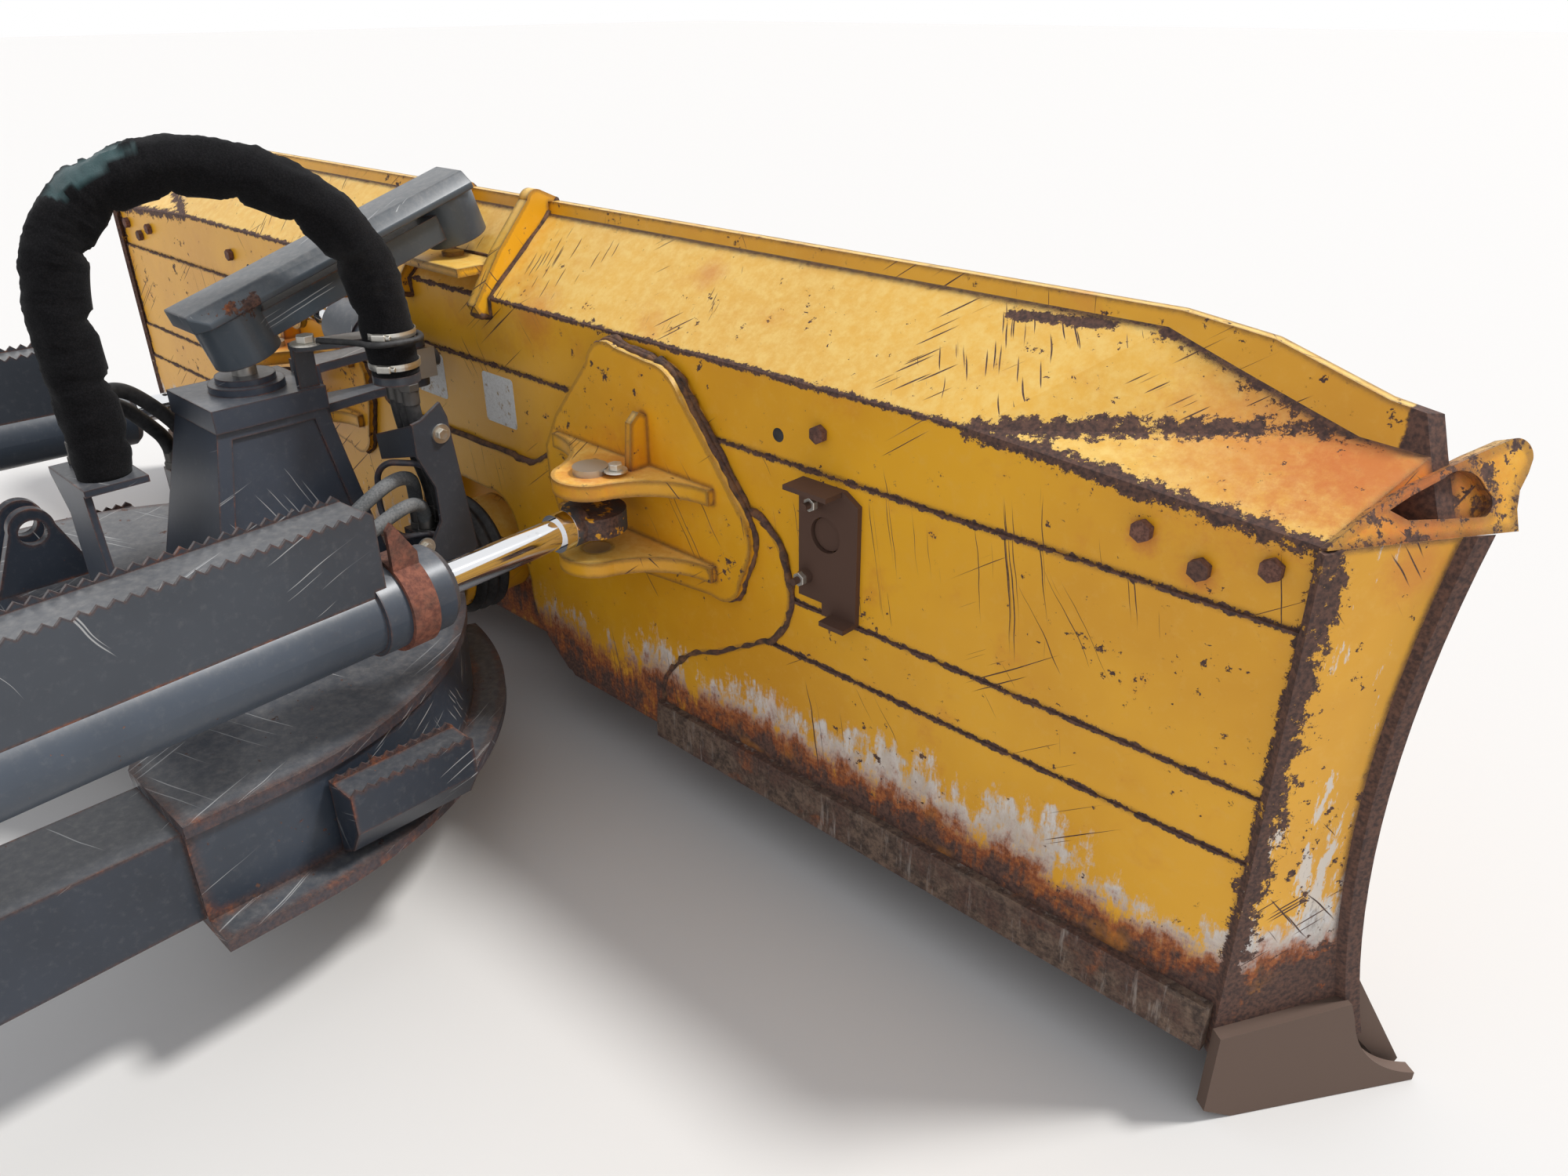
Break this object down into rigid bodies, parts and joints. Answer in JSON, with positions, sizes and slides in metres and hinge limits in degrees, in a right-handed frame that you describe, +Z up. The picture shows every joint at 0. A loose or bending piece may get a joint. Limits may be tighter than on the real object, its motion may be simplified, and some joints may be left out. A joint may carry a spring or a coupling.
{
  "type": "six-way dozer blade on its C-shaped push frame",
  "caption": "Yellow six-way bulldozer blade with dark C-frame, tower, pitch link, angle and tilt cylinders and sleeved hoses, weathered and rusty.",
  "frame": {"origin": "middle of the bolting faces of the two trunnion bearings at the rear of the push arms", "axes": "+X to the machine's right along the blade, +Y forwards in the travel direction, +Z up"},
  "size_m": [3.9686, 2.836, 1.2491],
  "materials": {
    "yellow_paint": "worn semi-gloss, chipped and rusting",
    "dark_paint": "worn semi-gloss, scratched",
    "chrome": "polished",
    "pin_steel": "zinc plated, dirty",
    "worn_steel": "brown mill scale and dirt, rubbed",
    "rusty_steel": "rough rust",
    "hose_sleeve": "fuzzy woven sleeve",
    "hose_rubber": "dusty hose"
  },
  "bodies": {
    "root": {"trunnion_bearing_right": "dark_paint", "trunnion_bearing_left": "dark_paint"},
    "c_frame": {"c_frame_nose": "dark_paint", "push_arm_right": "dark_paint", "push_arm_left": "dark_paint", "tower": "dark_paint", "lift_lugs": "dark_paint", "cylinder_mounts": "dark_paint", "tilt_bracket": "dark_paint", "hose_post": "dark_paint", "hose_bracket": "dark_paint", "steps": "dark_paint", "hose_guard": "dark_paint", "hose_guard_rod": "dark_paint", "hose_ports": "dark_paint", "tower_pin": "pin_steel", "ball_stud": "pin_steel", "hose_bundle": "hose_sleeve", "drop_hose_a": "hose_rubber", "drop_hose_b": "hose_rubber", "drop_hose_c": "hose_rubber", "left_hose_a": "hose_rubber", "left_hose_b": "hose_rubber", "right_hose_a": "hose_rubber", "right_hose_b": "hose_rubber"},
    "ball": {"ball_race": "pin_steel"},
    "blade": {"blade_skin": "yellow_paint", "blade_box": "yellow_paint", "end_plate_right": "yellow_paint", "end_plate_left": "yellow_paint", "corner_strap_right": "yellow_paint", "corner_strap_left": "yellow_paint", "centre_plate": "yellow_paint", "clevis_right": "yellow_paint", "clevis_left": "yellow_paint", "link_bracket": "yellow_paint", "socket_housing": "yellow_paint", "tilt_ears": "yellow_paint", "clevis_pins": "pin_steel", "cutting_edge": "worn_steel", "base_bars": "worn_steel", "side_wear_plate_right": "worn_steel", "side_wear_plate_left": "worn_steel", "bolted_bracket": "rusty_steel"},
    "angle_right_gimbal": {"angle_right_gimbal": "pin_steel"},
    "angle_right_barrel": {"angle_right_barrel": "dark_paint", "angle_right_guard": "dark_paint", "angle_right_clamp": "rusty_steel"},
    "angle_right_rod": {"angle_right_rod": "chrome"},
    "angle_left_gimbal": {"angle_left_gimbal": "pin_steel"},
    "angle_left_barrel": {"angle_left_barrel": "dark_paint", "angle_left_guard": "dark_paint", "angle_left_clamp": "rusty_steel"},
    "angle_left_rod": {"angle_left_rod": "chrome"},
    "tilt_gimbal": {"tilt_gimbal": "pin_steel"},
    "tilt_barrel": {"tilt_barrel": "dark_paint"},
    "tilt_rod": {"tilt_rod": "chrome"},
    "link_swivel": {"link_swivel": "pin_steel"},
    "pitch_link": {"pitch_link": "dark_paint", "link_guard": "dark_paint"}
  },
  "joints": [
    {"name": "lift", "type": "hinge", "parent": "root", "child": "c_frame", "pos_m": [0, 0.09, 0], "axis": [1, 0, 0], "range_deg": [-11.5, 26]},
    {"name": "blade_angle", "type": "hinge", "parent": "c_frame", "child": "ball", "pos_m": [0, 2.48, -0.14], "axis": [0, 0, 1], "range_deg": [-22, 22]},
    {"name": "blade_tilt", "type": "hinge", "parent": "ball", "child": "blade", "pos_m": [0, 2.48, -0.14], "axis": [0, 1, 0], "range_deg": [-6.5, 6.5]},
    {"name": "angle_right_swing", "type": "hinge", "parent": "c_frame", "child": "angle_right_gimbal", "pos_m": [0.68, 1.12, 0.151], "axis": [0, 0, 1], "range_deg": [-2.5, 2.5]},
    {"name": "angle_right_nod", "type": "hinge", "parent": "angle_right_gimbal", "child": "angle_right_barrel", "pos_m": [0.68, 1.12, 0.151], "axis": [0.9982, 0.0601, 0], "range_deg": [-4, 4]},
    {"name": "angle_right_stroke", "type": "slide", "parent": "angle_right_barrel", "child": "angle_right_rod", "axis": [-0.0601, 0.9982, 0], "range_m": [-0.24, 0.24]},
    {"name": "angle_left_swing", "type": "hinge", "parent": "c_frame", "child": "angle_left_gimbal", "pos_m": [-0.68, 1.12, 0.151], "axis": [0, 0, 1], "range_deg": [-2.5, 2.5]},
    {"name": "angle_left_nod", "type": "hinge", "parent": "angle_left_gimbal", "child": "angle_left_barrel", "pos_m": [-0.68, 1.12, 0.151], "axis": [0.9982, -0.0601, 0], "range_deg": [-4, 4]},
    {"name": "angle_left_stroke", "type": "slide", "parent": "angle_left_barrel", "child": "angle_left_rod", "axis": [0.0601, 0.9982, 0], "range_m": [-0.24, 0.24]},
    {"name": "tilt_swing", "type": "hinge", "parent": "c_frame", "child": "tilt_gimbal", "pos_m": [0, 2.48, 0.31], "axis": [0, 0, 1], "range_deg": [-23, 23]},
    {"name": "tilt_nod", "type": "hinge", "parent": "tilt_gimbal", "child": "tilt_barrel", "pos_m": [0, 2.48, 0.31], "axis": [0, 1, 0], "range_deg": [-9, 9]},
    {"name": "tilt_stroke", "type": "slide", "parent": "tilt_barrel", "child": "tilt_rod", "axis": [-0.993, 0, 0.1182], "range_m": [-0.06, 0.06]},
    {"name": "link_turn", "type": "hinge", "parent": "c_frame", "child": "link_swivel", "pos_m": [0, 2.14, 0.435], "axis": [0, 0, 1], "range_deg": [-8, 8]},
    {"name": "link_swing", "type": "hinge", "parent": "link_swivel", "child": "pitch_link", "pos_m": [0, 2.14, 0.435], "axis": [0, 0, 1], "range_deg": [-12, 12]}
  ],
  "couplings": [
    {"joint": "angle_right_swing", "follows": "blade_angle", "ratio": -0.06564},
    {"joint": "angle_right_stroke", "follows": "blade_angle", "m_per_rad": 0.57978},
    {"joint": "angle_right_nod", "follows": "blade_tilt", "ratio": -0.45099},
    {"joint": "angle_left_swing", "follows": "blade_angle", "ratio": -0.06564},
    {"joint": "angle_left_stroke", "follows": "blade_angle", "m_per_rad": -0.57978},
    {"joint": "angle_left_nod", "follows": "blade_tilt", "ratio": 0.45099},
    {"joint": "tilt_swing", "follows": "blade_angle", "ratio": 1},
    {"joint": "tilt_nod", "follows": "blade_tilt", "ratio": 1.1344},
    {"joint": "tilt_stroke", "follows": "blade_tilt", "m_per_rad": -0.44547},
    {"joint": "link_turn", "follows": "blade_angle", "ratio": 0.26087},
    {"joint": "link_swing", "follows": "blade_tilt", "ratio": -1.5696}
  ]
}
